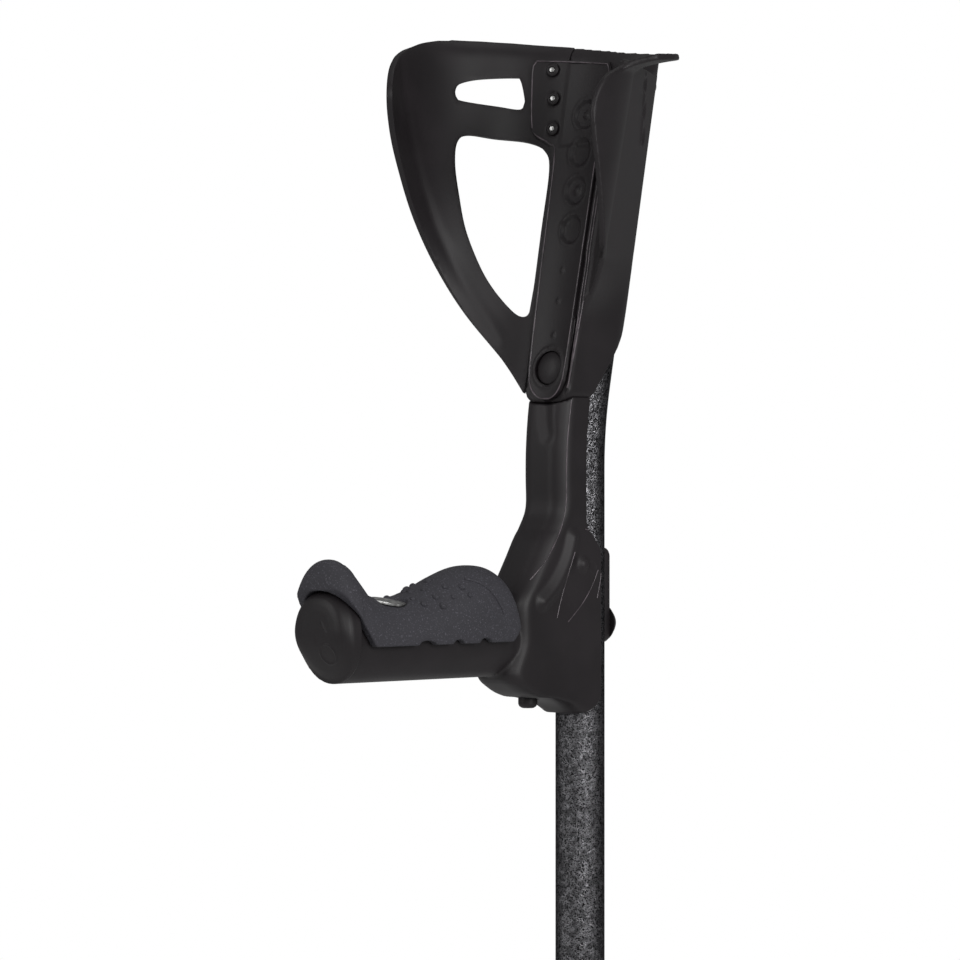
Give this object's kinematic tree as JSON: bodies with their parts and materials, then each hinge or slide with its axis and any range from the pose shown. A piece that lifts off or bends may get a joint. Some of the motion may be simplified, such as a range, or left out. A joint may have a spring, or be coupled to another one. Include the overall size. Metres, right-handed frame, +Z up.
{
  "type": "forearm crutch",
  "caption": "Forearm crutch with an open windowed cuff, a palm-shaped grip and a telescoping leg locked by a spring button.",
  "frame": {"origin": "middle of the ferrule's floor face, on the axis of the straight lower tube", "axes": "+Z up along the straight tube, -Y forward along the hand grip, +X to the side of the whole cuff wing"},
  "size_m": [0.1197, 0.2084, 1.103],
  "materials": {
    "hammered_paint": "dark grey hammered paint",
    "leg_aluminium": "drawn aluminium",
    "black_plastic": "fine-grained black moulding",
    "grey_rubber": "matte soft grip",
    "zinc_steel": "zinc plated",
    "black_rubber": "matte",
    "grey_nylon": "plain nylon",
    "badge_metal": "hammered bright insert"
  },
  "bodies": {
    "upper": {"upper_tube": "hammered_paint", "tube_top_plug": "black_plastic", "guide_bush": "grey_nylon", "handle_frame": "black_plastic", "grip_pad": "grey_rubber", "grip_end_cap": "black_plastic", "grip_badge": "badge_metal", "grip_screw": "zinc_steel", "rear_saddle": "black_plastic", "handle_bolt": "zinc_steel", "handle_nut": "zinc_steel", "bolt_cap": "black_plastic", "cuff_shell": "black_plastic", "cuff_hoop": "black_plastic", "spine_strip": "black_plastic", "hoop_stud_1": "zinc_steel", "hoop_stud_2": "zinc_steel", "hoop_stud_3": "zinc_steel", "cuff_screw": "zinc_steel", "cuff_button_spring": "zinc_steel"},
    "cuff_button": {"cuff_button": "black_plastic"},
    "leg": {"leg_tube": "leg_aluminium", "leg_button_spring": "zinc_steel", "ferrule": "black_rubber", "ferrule_disc": "zinc_steel"},
    "leg_button": {"leg_button": "zinc_steel"}
  },
  "joints": [
    {"name": "leg_slide", "type": "slide", "parent": "upper", "child": "leg", "axis": [0, 0, 1], "range_m": [-0.075, 0.075]},
    {"name": "leg_button_press", "type": "slide", "parent": "leg", "child": "leg_button", "axis": [0, -1, 0], "range_m": [0, 0.003], "stiffness_N_per_m": 700, "springref_m": -0.001, "deforming": ["leg_button_spring"]},
    {"name": "cuff_button_press", "type": "slide", "parent": "upper", "child": "cuff_button", "axis": [0, 0.9816, -0.1908], "range_m": [0, 0.003], "stiffness_N_per_m": 600, "springref_m": -0.001, "deforming": ["cuff_button_spring"]}
  ]
}
